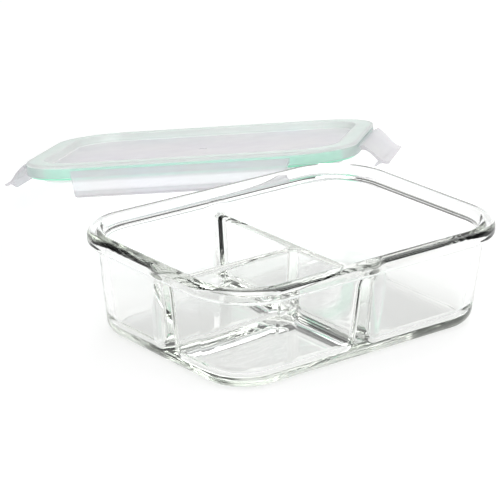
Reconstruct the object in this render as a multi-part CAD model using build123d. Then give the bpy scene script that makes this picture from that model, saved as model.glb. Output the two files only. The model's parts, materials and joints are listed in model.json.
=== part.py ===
from build123d import *
import os

# Glass bento lunch box with a clip-on lid: a pressed glass tray with three compartments, and a
# plastic lid that carries a silicone seal and four locking flaps on living hinges.
#
# Frame: the origin is the middle of the tray's underside, X runs along the long side, Z is up.
# The lid is drawn closed, with its own zero height on the tray's rim, and laid aside at the end.
# All sizes are in millimetres and all angles in degrees.

# Glass tray
TRAY_LENGTH = 215.0
TRAY_WIDTH = 158.0
TRAY_HEIGHT = 62.5
RIM_CORNER = 39.0
RIM_THICKNESS = 8.5
RIM_TOP_ROUND = 3.4
RIM_UNDER_ROUND = 3.0
RIM_ROOT_ROUND = 2.0
WALL_SETBACK = 6.0
BASE_SETBACK = 12.1
HEEL_RADIUS = 9.0
FLOOR_THICKNESS = 5.5
BORE_SETBACK_TOP = 9.5
BORE_SETBACK_FLOOR = 16.3
INSIDE_FILLET = 9.0

# Dividers, which are part of the glass
DIVIDER_HEIGHT = 50.0
DIVIDER_TOP = 5.4
DIVIDER_FOOT = 7.6
DIVIDER_ROUND = 2.2
CROSS_DIVIDER_X = -1.5
SIDE_DIVIDER_Y = -5.5
JUNCTION_FILLET = 4.0

# Lid, with heights measured from the top of the tray's rim
LID_LENGTH = 214.0
LID_WIDTH = 157.0
LID_CORNER = 38.5
SKIRT_BOTTOM = 1.0
LID_TOP = 9.2
LID_WALL = 1.5
EDGE_ROUND = 1.0
BORDER_THICKNESS = 1.6
CHANNEL_ROOF = LID_TOP - BORDER_THICKNESS
RIB_SETBACK = 10.1
RIB_THICKNESS = 1.3
RIB_BOTTOM = -3.0
PANEL_TOP = 4.7
PANEL_SETBACK = 13.6
PANEL_ROUND = 1.2
GATE_RADIUS = 2.5
GATE_DEPTH = 0.3

# Silicone seal
SEAL_GAP = 0.2
SEAL_TOP = CHANNEL_ROOF - SEAL_GAP
SEAL_BOTTOM = -0.3
SEAL_LIP = 2.4
SEAL_GROOVE = 2.2
SEAL_LIP_ROUND = 0.7

# Locking flaps and their living hinges
HINGE_OUT = 1.9
HINGE_HEIGHT = 5.0
BEAD_RADIUS = 0.7
BEAD_GAP = 0.25
WEB_THICKNESS = 0.6
WEB_END_GAP = 0.5
LONG_FLAP = 140.0
SHORT_FLAP = 84.0
FLAP_TAPER = 5.5
FLAP_REACH = 20.2
FLAP_CORNER = 5.0
HOOK_TOP = -13.85
HOOK_TIP = -4.9
GUSSET_THICKNESS = 1.4
GUSSET_SPACING = 5.0
FRONT_SPREAD = 42.0
SIDE_SPREAD = 48.0
BACK_SPREAD = 25.0

# Where the lid lies: beside the tray's back corner and raised there, low at its far side
LID_X = 85.7
LID_Y = 191.7
LID_Z = 36.3
LID_TURN = -48.8
LID_PITCH = -9.3
LID_ROLL = -7.15
LID_REST = Pos(LID_X, LID_Y, LID_Z) * Rot(0, 0, LID_TURN) * Rot(LID_PITCH, 0, 0) * Rot(0, LID_ROLL, 0)

# Modelling allowances: how closely two heights count as the same, how far a search for edges
# reaches past a face, and how far solids that are joined or cut run into each other
SAME_HEIGHT = 0.01
REACH = 0.5
OVERRUN = 1.0
UPRIGHT = 0.9


def outline(length, width, corner, setback, height):
    """A rounded rectangle, set back evenly from the given outer size."""
    sketch = RectangleRounded(length - 2 * setback, width - 2 * setback, corner - setback)
    return Pos(0, 0, height) * sketch


def tray_outline(setback, height):
    return outline(TRAY_LENGTH, TRAY_WIDTH, RIM_CORNER, setback, height)


def lid_outline(setback, height):
    return outline(LID_LENGTH, LID_WIDTH, LID_CORNER, setback, height)


def lid_prism(setback, bottom, top):
    return extrude(lid_outline(setback, bottom), top - bottom)


def lowest_face(solid):
    return solid.faces().sort_by(Axis.Z)[0]


def highest_face(solid):
    return solid.faces().sort_by(Axis.Z)[-1]


def bore_setback(height):
    """How far the tray's inner wall stands in from the rim's edge, at a height."""
    slope = (BORE_SETBACK_FLOOR - BORE_SETBACK_TOP) / (TRAY_HEIGHT - FLOOR_THICKNESS)
    return BORE_SETBACK_TOP + slope * (TRAY_HEIGHT - height)


def at_rim_root(edge, height):
    """True on the inside corner where the tray's wall meets the underside of its rim."""
    place = edge.center()
    level = abs(place.Z - height) < SAME_HEIGHT
    within_length = abs(place.X) < TRAY_LENGTH / 2 - WALL_SETBACK + REACH
    within_width = abs(place.Y) < TRAY_WIDTH / 2 - WALL_SETBACK + REACH
    return level and within_length and within_width


def tray_body():
    """The tapered outside of the tray with its thick rim, still solid."""
    rim_bottom = TRAY_HEIGHT - RIM_THICKNESS
    body = loft([tray_outline(BASE_SETBACK, 0), tray_outline(WALL_SETBACK, rim_bottom + OVERRUN)])
    body = fillet(lowest_face(body).edges(), HEEL_RADIUS)
    rim = extrude(tray_outline(0, rim_bottom), RIM_THICKNESS)
    rim = fillet(highest_face(rim).edges(), RIM_TOP_ROUND)
    rim = fillet(lowest_face(rim).edges(), RIM_UNDER_ROUND)
    whole = body + rim
    root = [edge for edge in whole.edges() if at_rim_root(edge, rim_bottom)]
    return fillet(root, RIM_ROOT_ROUND)


def divider_bar(length):
    """A bar along X with drafted sides, standing at the height of the tray's underside."""
    foot = Rectangle(length, DIVIDER_FOOT)
    top = Pos(0, 0, DIVIDER_HEIGHT) * Rectangle(length, DIVIDER_TOP)
    return loft([foot, top])


def at_junction(edge):
    """True on the two upright inside corners where the side divider meets the cross divider."""
    place = edge.center()
    upright = abs(edge.tangent_at(0.5).Z) > UPRIGHT
    near_cross = place.X > CROSS_DIVIDER_X - DIVIDER_FOOT
    return upright and near_cross and abs(place.Y - SIDE_DIVIDER_Y) < DIVIDER_FOOT


def dividers():
    """The T-shaped pair of dividers, rounded along the top and at their junction."""
    cross = Pos(CROSS_DIVIDER_X, 0, 0) * Rot(0, 0, 90) * divider_bar(TRAY_WIDTH)
    side_length = TRAY_LENGTH / 2
    side = Pos(CROSS_DIVIDER_X - side_length / 2, SIDE_DIVIDER_Y, 0) * divider_bar(side_length)
    bars = cross + side
    bars = fillet([edge for edge in bars.edges() if at_junction(edge)], JUNCTION_FILLET)
    return fillet(highest_face(bars).edges(), DIVIDER_ROUND)


def at_divider_end(edge):
    """True on the inside corners where a divider runs into the tray's wall."""
    place = edge.center()
    on_cross = abs(place.X - CROSS_DIVIDER_X) < DIVIDER_FOOT
    on_cross = on_cross and abs(place.Y) > TRAY_WIDTH / 2 - 2 * BORE_SETBACK_TOP
    on_side = abs(place.Y - SIDE_DIVIDER_Y) < DIVIDER_FOOT
    on_side = on_side and place.X < 2 * BORE_SETBACK_TOP - TRAY_LENGTH / 2
    return (on_cross or on_side) and FLOOR_THICKNESS + REACH < place.Z < DIVIDER_HEIGHT + REACH


def compartments():
    """The hollow of the tray: three compartments that join above the dividers."""
    top = TRAY_HEIGHT + OVERRUN
    floor = FLOOR_THICKNESS
    bore = loft([tray_outline(bore_setback(floor), floor), tray_outline(bore_setback(top), top)])
    hollow = bore - dividers()
    corners = [edge for edge in hollow.edges() if abs(edge.center().Z - floor) < SAME_HEIGHT]
    corners += [edge for edge in hollow.edges() if at_divider_end(edge)]
    return fillet(corners, INSIDE_FILLET)


def glass_tray():
    tray = tray_body() - compartments()
    top = tray.faces().filter_by(Axis.Z).sort_by(Axis.Z)[-1]
    return fillet(top.inner_wires()[0].edges(), RIM_TOP_ROUND)


def lid_border():
    """The flat border of the lid with the skirt that hangs from its edge."""
    block = lid_prism(0, SKIRT_BOTTOM, LID_TOP)
    block = fillet(highest_face(block).edges(), EDGE_ROUND)
    return block - lid_prism(LID_WALL, SKIRT_BOTTOM, CHANNEL_ROOF)


def lid_rib():
    """The rib that drops inside the tray's rim and holds the seal's inner side."""
    rib = lid_prism(RIB_SETBACK, RIB_BOTTOM, CHANNEL_ROOF)
    return rib - lid_prism(RIB_SETBACK + RIB_THICKNESS, RIB_BOTTOM, CHANNEL_ROOF)


def lid_dish():
    """The solid outside of the sunken panel, and the hollow that leaves its sloping side."""
    panel_underside = lid_outline(PANEL_SETBACK - LID_WALL, PANEL_TOP - LID_WALL)
    outside = loft([panel_underside, lid_outline(RIB_SETBACK, CHANNEL_ROOF)])
    outside += lid_prism(RIB_SETBACK, CHANNEL_ROOF, LID_TOP)
    mouth = lid_outline(RIB_SETBACK + RIB_THICKNESS, LID_TOP)
    hollow = loft([lid_outline(PANEL_SETBACK, PANEL_TOP), mouth])
    return outside, fillet(lowest_face(hollow).edges(), PANEL_ROUND)


def gate_mark():
    """The shallow round sink where the plastic was fed into the mould."""
    centred_on_base = (Align.CENTER, Align.CENTER, Align.MIN)
    return Pos(0, 0, PANEL_TOP - GATE_DEPTH) * Cylinder(GATE_RADIUS, OVERRUN, align=centred_on_base)


def lid_panel():
    """The main moulding of the lid: skirt, border, seal channel and sunken panel."""
    outside, hollow = lid_dish()
    return lid_border() + outside + lid_rib() - hollow - gate_mark()


def seal_ring():
    """A flat silicone ring that fills the lid's channel, with two lips on its underside."""
    outside = LID_WALL + SEAL_GAP
    inside = RIB_SETBACK - SEAL_GAP
    ring = lid_prism(outside, SEAL_BOTTOM, SEAL_TOP) - lid_prism(inside, SEAL_BOTTOM, SEAL_TOP)
    groove_top = SEAL_BOTTOM + SEAL_GROOVE
    groove = lid_prism(outside + SEAL_LIP, SEAL_BOTTOM, groove_top)
    groove -= lid_prism(inside - SEAL_LIP, SEAL_BOTTOM, groove_top)
    ring -= groove
    low = ring.faces().filter_by(Axis.Z).group_by(Axis.Z)[0]
    return fillet(low.edges(), SEAL_LIP_ROUND)


def flap_section():
    """Section of a latched locking flap: X is outward, Y is up, and the hinge axis is the origin."""
    tip = -FLAP_REACH
    outer = Spline((1.85, -0.1), (2.1, -3.5), (2.0, -8.0), (1.2, -13.5), (1.5, -17.0), (2.7, tip))
    lip = Line((2.7, tip), (1.5, tip))
    inner = Spline((1.5, tip), (-0.1, -17.2), (-0.4, -15.9))
    under_hook = Polyline((-0.4, -15.9), (-4.2, -15.0), (HOOK_TIP, -14.3), (-4.8, HOOK_TOP))
    over_hook = Line((-4.8, HOOK_TOP), (-0.5, HOOK_TOP))
    back = Spline((-0.5, HOOK_TOP), (0.3, -8.0), (0.1, -3.5), (-1.4, -1.1))
    head = Line((-1.4, -1.1), (1.85, -0.1))
    profile = make_face([outer, lip, inner, under_hook, over_hook, back, head])
    return profile - Circle(BEAD_RADIUS + BEAD_GAP)


def flap_plan(length):
    """The flap seen from outside: straight along the hinge, narrower and rounded at its tip."""
    upper = length / 2
    lower = upper - FLAP_TAPER
    tip = -FLAP_REACH - REACH
    corners = [(-upper, OVERRUN), (upper, OVERRUN), (lower, tip), (-lower, tip)]
    plan = make_face(Polyline(*corners, close=True))
    return fillet(plan.vertices().group_by(Axis.Y)[0], FLAP_CORNER)


def gussets(length):
    """Small webs under the hook that stiffen the finger lip, three near each end of the flap."""
    web = make_face(Polyline((-3.8, -15.0), (-0.2, -15.2), (0.6, -18.6), (-0.6, -17.9), close=True))
    web = extrude(Plane.XZ * web, GUSSET_THICKNESS / 2, both=True)
    outermost = length / 2 - FLAP_TAPER - FLAP_CORNER - GUSSET_THICKNESS
    places = [side * (outermost - step * GUSSET_SPACING) for side in (-1, 1) for step in range(3)]
    return [Pos(0, place, 0) * web for place in places]


def flap(length):
    """A latched locking flap that faces +X, with its hinge axis on Y."""
    skin = extrude(Plane.XZ * flap_section(), length / 2, both=True)
    skin += gussets(length)
    return skin & extrude(Plane.YZ * flap_plan(length), FLAP_REACH, both=True)


def hinge_web(length):
    """The thin web of a living hinge, from the skirt to a round bead on the hinge axis, facing +X."""
    web = Pos(-HINGE_OUT / 2, 0, 0) * Box(HINGE_OUT, length, WEB_THICKNESS)
    return web + Rot(90, 0, 0) * Cylinder(BEAD_RADIUS, length)


# Each flap's side of the lid: its bearing from +X, how far out the skirt is, the flap's length,
# the hinge web's length, and how far the flap is spread from latched where the lid lies
LONG_WEB = LID_LENGTH - 2 * LID_CORNER - 2 * WEB_END_GAP
SHORT_WEB = LID_WIDTH - 2 * LID_CORNER - 2 * WEB_END_GAP
SIDES = {
    "right": (0, LID_LENGTH / 2, SHORT_FLAP, SHORT_WEB, SIDE_SPREAD),
    "back": (90, LID_WIDTH / 2, LONG_FLAP, LONG_WEB, BACK_SPREAD),
    "left": (180, LID_LENGTH / 2, SHORT_FLAP, SHORT_WEB, SIDE_SPREAD),
    "front": (-90, LID_WIDTH / 2, LONG_FLAP, LONG_WEB, FRONT_SPREAD),
}


def hinge_place(bearing, reach):
    """The hinge of one side, with X outward and Y along the hinge axis."""
    return Rot(0, 0, bearing) * Pos(reach + HINGE_OUT, 0, HINGE_HEIGHT)


def lid_nodes(spread=None):
    """Every piece of the closed lid, by node name, with its flaps at rest or all spread alike."""
    nodes = {"lid_panel": lid_panel(), "seal_ring": seal_ring()}
    for side, (bearing, reach, flap_length, web_length, rest_spread) in SIDES.items():
        place = hinge_place(bearing, reach)
        angle = rest_spread if spread is None else spread
        nodes[f"hinge_web_{side}"] = place * hinge_web(web_length)
        nodes[f"flap_{side}"] = place * Rot(0, -angle, 0) * flap(flap_length)
    return nodes


def main():
    os.makedirs("parts", exist_ok=True)
    export_step(glass_tray(), "parts/glass_tray.step")
    for name, piece in lid_nodes().items():
        export_step(LID_REST * piece, f"parts/{name}.step")


if __name__ == "__main__":
    main()
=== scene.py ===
import json
import math

import bpy
from mathutils import Matrix, Vector

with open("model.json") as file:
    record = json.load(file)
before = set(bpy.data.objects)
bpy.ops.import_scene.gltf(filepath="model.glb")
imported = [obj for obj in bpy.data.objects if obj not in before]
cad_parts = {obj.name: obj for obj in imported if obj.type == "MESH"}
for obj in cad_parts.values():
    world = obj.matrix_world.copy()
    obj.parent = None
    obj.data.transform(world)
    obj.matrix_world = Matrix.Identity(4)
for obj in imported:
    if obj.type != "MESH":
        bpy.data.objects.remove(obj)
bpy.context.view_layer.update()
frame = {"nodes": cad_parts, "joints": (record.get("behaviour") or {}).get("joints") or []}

# The camera: a long lens that looks down on the tray's near corner
CAMERA_AZIMUTH = math.radians(-39.39)
CAMERA_ELEVATION = math.radians(20.03)
CAMERA_ROLL = math.radians(0.84)
CAMERA_DISTANCE = 1.4699
CAMERA_LENS = 182.0
CAMERA_REACH = 50.0
SENSOR_WIDTH = 36.0
TARGET_RIGHT = -0.02368
TARGET_UP = 0.04282

# The lamps, which both face one point
LAMP_TARGET = Vector((0.05, 0.1, 0.03))
KEY_PLACE = (-0.6, -0.9, 1.6)
KEY_SIZE = 1.4
KEY_POWER = 30.0
FILL_PLACE = (1.4, 0.8, 1.5)
FILL_SIZE = 1.6
FILL_POWER = 15.0

# The sky: white up to one height and dark from another, both as the sine of the elevation
SKY_STRENGTH = 1.0
SKY_WHITE_TO = 0.15
SKY_DARK_FROM = 0.45
SKY_DARK = 0.15

# The floor, and how strongly it glows near its middle and far away
FLOOR_SIZE = 14.0
FLOOR_DROP = 0.0002
FLOOR_COLOUR = (0.93, 0.93, 0.93, 1.0)
FLOOR_GLOW = 0.20
FAR_GLOW = 0.95
GLOW_FROM = 0.3
GLOW_TO = 3.5

# The tray's inside and rim, and how many inner reflections count as caught light
INSIDE_HALF_LENGTH = 0.086
INSIDE_HALF_WIDTH = 0.057
INSIDE_FLOOR = 0.0065
RIM_FOOT = 0.053
CAUGHT_REFLECTIONS = 1.5

# The glass: the tint of its thickness, of its shadow and of the light that leaks out
GLASS_IOR = 1.47
GLASS_COLOUR = (0.88, 0.91, 0.86, 1.0)
GLASS_DENSITY = 10.0
GLASS_SHADOW = (0.981, 0.985, 0.979, 1.0)
LEAK_TINT = (0.986, 0.99, 0.981, 1.0)

# The lid's panel, and where its skirt begins, in the lid's own frame
PANEL_HALF_LENGTH = 0.0934
PANEL_HALF_WIDTH = 0.0649
PANEL_CORNER = 0.0249
PANEL_BLUR = 0.0008
SKIRT_TOP = 0.0022
SKIRT_REACH = 0.0115

# The plastic: how much of the light each face stops, and how that drifts and grows edge on
PANEL_OPACITY = 0.34
BORDER_OPACITY = 0.92
FLAP_OPACITY = 0.36
EDGE_OPACITY = 0.20
EDGE_BLEND = 0.2
HAZE_DRIFT = 0.03
BORDER_PALENESS = 0.3
PLASTIC_IOR = 1.49
GLANCING_IOR = 1.3
PLASTIC_GLOW = 0.5
PLASTIC_LILAC = (0.87, 0.85, 0.90, 1.0)
PLASTIC_PALE = (0.855, 0.828, 0.84, 1.0)
PLASTIC_CLEAR = (0.97, 0.97, 0.98, 1.0)
PLASTIC_SHADOW = (0.95, 0.95, 0.95, 1.0)

# The silicone
SILICONE_GLOW = 0.4
SILICONE_DEEP = (0.40, 0.80, 0.64, 1.0)
SILICONE_PALE = (0.50, 0.86, 0.72, 1.0)
SILICONE_SHADOW = (0.72, 0.80, 0.77, 1.0)

WHITE = (1.0, 1.0, 1.0, 1.0)

# The frame's joints by name, which tell where the lid lies
HINGES = {joint["name"]: joint for joint in frame["joints"]}


def lid_matrix():
    """The lid's own frame at rest: X along its length, Z out of its top, centred at its hinges."""
    along = -Vector(HINGES["flap_front_hinge"]["axis"]).normalized()
    across = -Vector(HINGES["flap_right_hinge"]["axis"]).normalized()
    front = Vector(HINGES["flap_front_hinge"]["pos_m"])
    back = Vector(HINGES["flap_back_hinge"]["pos_m"])
    turn = Matrix((along, across, along.cross(across))).transposed().to_4x4()
    return Matrix.Translation((front + back) / 2) @ turn


# Material nodes

def new_material(name):
    """An empty node material, with its output node."""
    material = bpy.data.materials.new(name)
    material.use_nodes = True
    material.node_tree.nodes.clear()
    return material, material.node_tree.nodes.new("ShaderNodeOutputMaterial")


def add(material, kind, inputs=None, **settings):
    """A new node with its settings, and with its inputs set to constants or linked from sockets."""
    node = material.node_tree.nodes.new(kind)
    for key, value in settings.items():
        setattr(node, key, value)
    for key, value in (inputs or {}).items():
        if isinstance(value, bpy.types.NodeSocket):
            material.node_tree.links.new(value, node.inputs[key])
        else:
            node.inputs[key].default_value = value
    return node


def object_place(material):
    return add(material, "ShaderNodeTexCoord").outputs["Object"]


def noise(material, vector, scale, detail=2.0):
    settings = {"Vector": vector, "Scale": scale, "Detail": detail}
    return add(material, "ShaderNodeTexNoise", settings).outputs["Fac"]


def spread(material, value, low, high):
    """A pattern's 0.3 to 0.7 spread out between two values."""
    limits = {"Value": value, "From Min": 0.3, "From Max": 0.7, "To Min": low, "To Max": high}
    return add(material, "ShaderNodeMapRange", limits).outputs["Result"]


def bump(material, height, distance, strength, normal=None):
    inputs = {"Height": height, "Distance": distance, "Strength": strength}
    if normal is not None:
        inputs["Normal"] = normal
    return add(material, "ShaderNodeBump", inputs).outputs["Normal"]


def math_node(material, operation, first, second=0.0):
    return add(material, "ShaderNodeMath", {0: first, 1: second}, operation=operation).outputs["Value"]


def mix_shaders(material, share, first, second):
    return add(material, "ShaderNodeMixShader", {0: share, 1: first, 2: second}).outputs["Shader"]


def blend_colours(material, share, first, second):
    tones = {"Factor": share, "A": first, "B": second}
    return add(material, "ShaderNodeMix", tones, data_type="RGBA").outputs["Result"]


def translucent(material, colour):
    return add(material, "ShaderNodeBsdfTranslucent", {"Color": colour}).outputs["BSDF"]


def transparent(material, colour):
    return add(material, "ShaderNodeBsdfTransparent", {"Color": colour}).outputs["BSDF"]


def let_lamps_through(material, body, tint):
    """The body, which only tints the light that lamps send through it."""
    is_shadow = add(material, "ShaderNodeLightPath").outputs["Is Shadow Ray"]
    return mix_shaders(material, is_shadow, body, transparent(material, tint))


# Glass

def within(material, value, half):
    """1 where the value lies within half of zero."""
    return math_node(material, "LESS_THAN", math_node(material, "ABSOLUTE", value), half)


def leak_region(material, place):
    """1 in the rim and on the tray's inside, where caught light leaks out, and 0 elsewhere."""
    split = add(material, "ShaderNodeSeparateXYZ", {"Vector": place})
    in_length = within(material, split.outputs["X"], INSIDE_HALF_LENGTH)
    in_width = within(material, split.outputs["Y"], INSIDE_HALF_WIDTH)
    above_floor = math_node(material, "GREATER_THAN", split.outputs["Z"], INSIDE_FLOOR)
    in_plan = math_node(material, "MULTIPLY", in_length, in_width)
    inside = math_node(material, "MULTIPLY", in_plan, above_floor)
    in_rim = math_node(material, "GREATER_THAN", split.outputs["Z"], RIM_FOOT)
    return math_node(material, "MAXIMUM", inside, in_rim)


def leaking(material, body, place):
    """The glass, except that light caught in inner reflections leaks out of part of it."""
    reflections = add(material, "ShaderNodeLightPath").outputs["Glossy Depth"]
    many = math_node(material, "GREATER_THAN", reflections, CAUGHT_REFLECTIONS)
    caught = math_node(material, "MULTIPLY", many, leak_region(material, place))
    straight = {"Color": LEAK_TINT, "IOR": 1.0, "Roughness": 0.0}
    leak = add(material, "ShaderNodeBsdfRefraction", straight).outputs["BSDF"]
    return mix_shaders(material, caught, body, leak)


def glass_material():
    """Pressed clear glass: faintly green through its thickness, with slow ripples in its faces."""
    material, output = new_material("pressed_glass")
    place = object_place(material)
    slow = noise(material, place, scale=30.0, detail=1.0)
    ripples = bump(material, slow, distance=0.0004, strength=0.05)
    fine = noise(material, place, scale=420.0)
    skin = bump(material, fine, distance=0.00002, strength=0.08, normal=ripples)
    roughness = spread(material, noise(material, place, scale=60.0, detail=3.0), 0.0, 0.012)
    inputs = {"Base Color": WHITE, "Transmission Weight": 1.0, "IOR": GLASS_IOR}
    inputs.update({"Roughness": roughness, "Normal": skin})
    body = add(material, "ShaderNodeBsdfPrincipled", inputs).outputs["BSDF"]
    surface = let_lamps_through(material, leaking(material, body, place), GLASS_SHADOW)
    tint = {"Color": GLASS_COLOUR, "Density": GLASS_DENSITY}
    depth = add(material, "ShaderNodeVolumeAbsorption", tint).outputs["Volume"]
    material.node_tree.links.new(surface, output.inputs["Surface"])
    material.node_tree.links.new(depth, output.inputs["Volume"])
    return material


# Plastic

def in_lid_frame(material, lid_frame):
    """The surface's place in the lid's own frame."""
    back = lid_frame.inverted()
    inputs = {"Location": back.to_translation(), "Rotation": back.to_euler()}
    inputs["Vector"] = object_place(material)
    return add(material, "ShaderNodeMapping", inputs).outputs["Vector"]


def on_border(material, place):
    """1 on the border round the lid's panel, and 0 on the panel and on the skirt."""
    split = add(material, "ShaderNodeSeparateXYZ", {"Vector": place})
    reach = []
    for axis, half in (("X", PANEL_HALF_LENGTH), ("Y", PANEL_HALF_WIDTH)):
        size = math_node(material, "ABSOLUTE", split.outputs[axis])
        past = math_node(material, "SUBTRACT", size, half - PANEL_CORNER)
        past = math_node(material, "MAXIMUM", past, 0.0)
        reach.append(math_node(material, "MULTIPLY", past, past))
    far = math_node(material, "SQRT", math_node(material, "ADD", *reach))
    limits = {"Value": far, "From Min": PANEL_CORNER - PANEL_BLUR, "From Max": PANEL_CORNER + PANEL_BLUR}
    past_panel = add(material, "ShaderNodeMapRange", limits).outputs["Result"]
    inside_skirt = math_node(material, "LESS_THAN", far, PANEL_CORNER + SKIRT_REACH)
    above_skirt = math_node(material, "GREATER_THAN", split.outputs["Z"], SKIRT_TOP)
    off_skirt = math_node(material, "MAXIMUM", inside_skirt, above_skirt)
    return math_node(material, "MULTIPLY", past_panel, off_skirt)


def milkiness(material, border, haze, opacity, border_opacity):
    """How much of the light the plastic stops: by its face, in slow drifts, and more edge on."""
    thickness = {"Factor": border, "A": opacity, "B": border_opacity}
    share = add(material, "ShaderNodeMix", thickness).outputs["Result"]
    share = math_node(material, "ADD", share, spread(material, haze, -HAZE_DRIFT, HAZE_DRIFT))
    edge_on = add(material, "ShaderNodeLayerWeight", {"Blend": EDGE_BLEND}).outputs["Facing"]
    return math_node(material, "ADD", share, math_node(material, "MULTIPLY", edge_on, EDGE_OPACITY))


def plastic_material(name, lid_frame, opacity, border_opacity):
    """Natural polypropylene: milky and faintly lilac, with clear plastic's gloss where it is thin."""
    material, output = new_material(name)
    place = in_lid_frame(material, lid_frame)
    haze = noise(material, place, scale=24.0, detail=3.0)
    fine = noise(material, place, scale=260.0)
    skin = bump(material, fine, distance=0.00001, strength=0.2)
    roughness = spread(material, noise(material, place, scale=80.0, detail=3.0), 0.18, 0.26)
    border = on_border(material, place)
    lift = math_node(material, "MULTIPLY", border, BORDER_PALENESS)
    paleness = spread(material, math_node(material, "ADD", haze, lift), 0.0, 1.0)
    colour = blend_colours(material, paleness, PLASTIC_LILAC, PLASTIC_PALE)
    inputs = {"Base Color": colour, "IOR": PLASTIC_IOR, "Normal": skin, "Roughness": roughness}
    face = add(material, "ShaderNodeBsdfPrincipled", inputs).outputs["BSDF"]
    milk = mix_shaders(material, PLASTIC_GLOW, face, translucent(material, colour))
    sheen = {"Roughness": roughness, "Normal": skin}
    gloss = add(material, "ShaderNodeBsdfGlossy", sheen).outputs["BSDF"]
    glancing = add(material, "ShaderNodeFresnel", {"IOR": GLANCING_IOR}).outputs[0]
    open_part = mix_shaders(material, glancing, transparent(material, PLASTIC_CLEAR), gloss)
    share = milkiness(material, border, haze, opacity, border_opacity)
    body = mix_shaders(material, share, open_part, milk)
    surface = let_lamps_through(material, body, PLASTIC_SHADOW)
    material.node_tree.links.new(surface, output.inputs["Surface"])
    return material


# Silicone and floor

def silicone_material():
    """Soft mint silicone: light gets into it and out of its far side, and its skin is matt."""
    material, output = new_material("mint_silicone")
    place = object_place(material)
    pattern = noise(material, place, scale=70.0, detail=4.0)
    colour = blend_colours(material, pattern, SILICONE_DEEP, SILICONE_PALE)
    fine = noise(material, place, scale=1400.0)
    skin = bump(material, fine, distance=0.00005, strength=0.5)
    roughness = spread(material, pattern, 0.42, 0.55)
    inputs = {"Base Color": colour, "Roughness": roughness, "Normal": skin}
    body = add(material, "ShaderNodeBsdfPrincipled", inputs).outputs["BSDF"]
    lit = mix_shaders(material, SILICONE_GLOW, body, translucent(material, colour))
    surface = let_lamps_through(material, lit, SILICONE_SHADOW)
    material.node_tree.links.new(surface, output.inputs["Surface"])
    return material


def floor_material():
    """A pale matt floor that glows like a light table, and more strongly far from its middle."""
    material, output = new_material("pale_floor")
    place = object_place(material)
    far = add(material, "ShaderNodeVectorMath", {0: place}, operation="LENGTH").outputs["Value"]
    limits = {"Value": far, "From Min": GLOW_FROM, "From Max": GLOW_TO}
    limits.update({"To Min": FLOOR_GLOW, "To Max": FAR_GLOW})
    glow = add(material, "ShaderNodeMapRange", limits).outputs["Result"]
    roughness = spread(material, noise(material, place, scale=6.0), 0.5, 0.6)
    inputs = {"Base Color": FLOOR_COLOUR, "Emission Color": WHITE}
    inputs.update({"Emission Strength": glow, "Roughness": roughness})
    body = add(material, "ShaderNodeBsdfPrincipled", inputs).outputs["BSDF"]
    material.node_tree.links.new(body, output.inputs["Surface"])
    return material


# The object

def dress(node_name, material):
    """Gives a CAD node one material."""
    slots = frame["nodes"][node_name].data.materials
    if not slots:
        slots.append(material)
    for index in range(len(slots)):
        slots[index] = material


def dress_nodes():
    """Gives every CAD node its material: glass, silicone, flap plastic or lid plastic."""
    lid_frame = lid_matrix()
    glass = glass_material()
    panel = plastic_material("lid_polypropylene", lid_frame, PANEL_OPACITY, BORDER_OPACITY)
    flap = plastic_material("flap_polypropylene", lid_frame, FLAP_OPACITY, FLAP_OPACITY)
    silicone = silicone_material()
    for name in frame["nodes"]:
        if name == "glass_tray":
            dress(name, glass)
        elif name == "seal_ring":
            dress(name, silicone)
        elif name.startswith("flap"):
            dress(name, flap)
        else:
            dress(name, panel)


# The studio

def make_floor():
    half = FLOOR_SIZE / 2
    corners = [(-half, -half, 0), (half, -half, 0), (half, half, 0), (-half, half, 0)]
    mesh = bpy.data.meshes.new("floor")
    mesh.from_pydata(corners, [], [range(len(corners))])
    floor = bpy.data.objects.new("floor", mesh)
    floor.location.z = -FLOOR_DROP
    bpy.context.scene.collection.objects.link(floor)
    mesh.materials.append(floor_material())


def make_sky():
    """A white surround that greys towards the zenith."""
    world = bpy.data.worlds.new("studio")
    bpy.context.scene.world = world
    world.use_nodes = True
    nodes, links = world.node_tree.nodes, world.node_tree.links
    place = nodes.new("ShaderNodeTexCoord")
    split = nodes.new("ShaderNodeSeparateXYZ")
    ramp = nodes.new("ShaderNodeValToRGB")
    links.new(place.outputs["Generated"], split.inputs["Vector"])
    links.new(split.outputs["Z"], ramp.inputs["Fac"])
    white, dark = ramp.color_ramp.elements
    white.position = SKY_WHITE_TO
    white.color = WHITE
    dark.position = SKY_DARK_FROM
    dark.color = (SKY_DARK, SKY_DARK, SKY_DARK, 1.0)
    links.new(ramp.outputs["Color"], nodes["Background"].inputs["Color"])
    nodes["Background"].inputs["Strength"].default_value = SKY_STRENGTH


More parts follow.
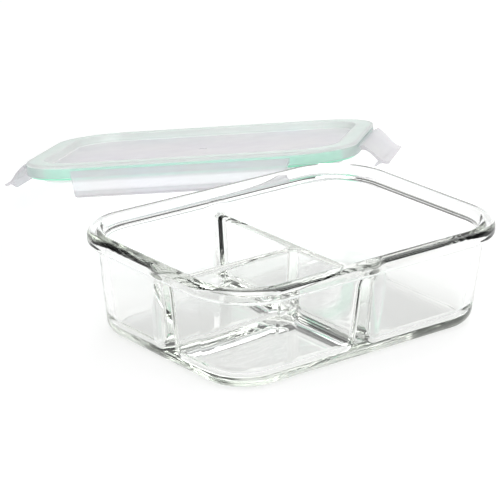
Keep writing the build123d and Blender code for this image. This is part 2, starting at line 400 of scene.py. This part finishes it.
def softbox(name, place, size, power):
    """A square area light that faces the lamps' target."""
    data = bpy.data.lights.new(name, "AREA")
    data.energy = power
    data.size = size
    light = bpy.data.objects.new(name, data)
    light.location = place
    light.rotation_mode = "QUATERNION"
    light.rotation_quaternion = (LAMP_TARGET - Vector(place)).to_track_quat("-Z", "Y")
    bpy.context.scene.collection.objects.link(light)


def make_camera():
    """The camera, set by its bearing, height and roll, and by how far it stands off its aim."""
    sin_a, cos_a = math.sin(CAMERA_AZIMUTH), math.cos(CAMERA_AZIMUTH)
    sin_e, cos_e = math.sin(CAMERA_ELEVATION), math.cos(CAMERA_ELEVATION)
    back = Vector((sin_a * cos_e, -cos_a * cos_e, sin_e))
    level_right = Vector((cos_a, sin_a, 0))
    level_up = back.cross(level_right)
    right = level_right * math.cos(CAMERA_ROLL) + level_up * math.sin(CAMERA_ROLL)
    up = level_up * math.cos(CAMERA_ROLL) - level_right * math.sin(CAMERA_ROLL)
    data = bpy.data.cameras.new("camera")
    data.lens = CAMERA_LENS
    data.sensor_width = SENSOR_WIDTH
    data.clip_end = CAMERA_REACH
    camera = bpy.data.objects.new("camera", data)
    place = back * CAMERA_DISTANCE + right * TARGET_RIGHT + up * TARGET_UP
    turn = Matrix((right, up, back)).transposed().to_4x4()
    camera.matrix_world = Matrix.Translation(place) @ turn
    bpy.context.scene.collection.objects.link(camera)
    bpy.context.scene.camera = camera


def make_studio():
    make_floor()
    make_sky()
    softbox("key", KEY_PLACE, KEY_SIZE, KEY_POWER)
    softbox("fill", FILL_PLACE, FILL_SIZE, FILL_POWER)
    scene = bpy.context.scene
    scene.view_settings.view_transform = "Standard"
    # Light that glass focuses is left out, since lamps already shine through every clear piece
    scene.cycles.caustics_refractive = False
    scene.cycles.caustics_reflective = False
    # Enough bounces for a ray to get through the dividers and both walls
    scene.cycles.max_bounces = 32
    scene.cycles.transmission_bounces = 32
    scene.cycles.glossy_bounces = 12
    scene.cycles.transparent_max_bounces = 48


dress_nodes()
make_studio()
make_camera()
